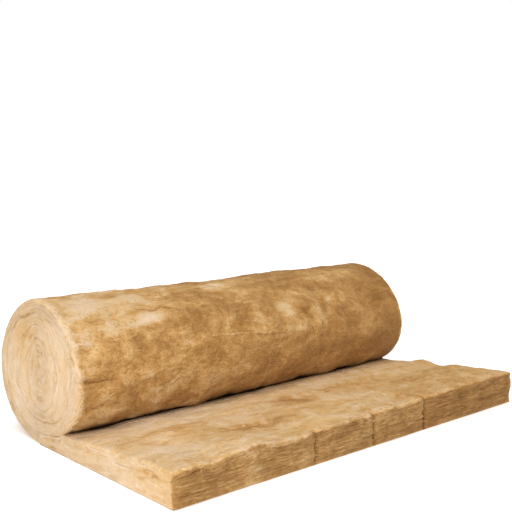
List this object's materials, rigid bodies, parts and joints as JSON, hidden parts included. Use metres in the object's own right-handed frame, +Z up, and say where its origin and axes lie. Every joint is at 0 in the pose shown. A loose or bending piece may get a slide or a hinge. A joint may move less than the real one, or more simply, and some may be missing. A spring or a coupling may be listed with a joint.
{
  "type": "insulation roll",
  "caption": "Roll of bare glass wool blanket for lofts, partly unrolled: an oval wound roll with its free end lying flat on the floor in front of it.",
  "frame": {"origin": "on the floor, under the middle of the blanket's box", "axes": "+X along the roll's axis (the blanket's width), -Y towards the free end, +Z up"},
  "size_m": [1.16, 0.752, 0.3451],
  "materials": {
    "glass_wool": "matt bound glass fibre, tan to golden brown with pale loose patches"
  },
  "bodies": {
    "root": {"wool_blanket": "glass_wool"}
  },
  "joints": []
}
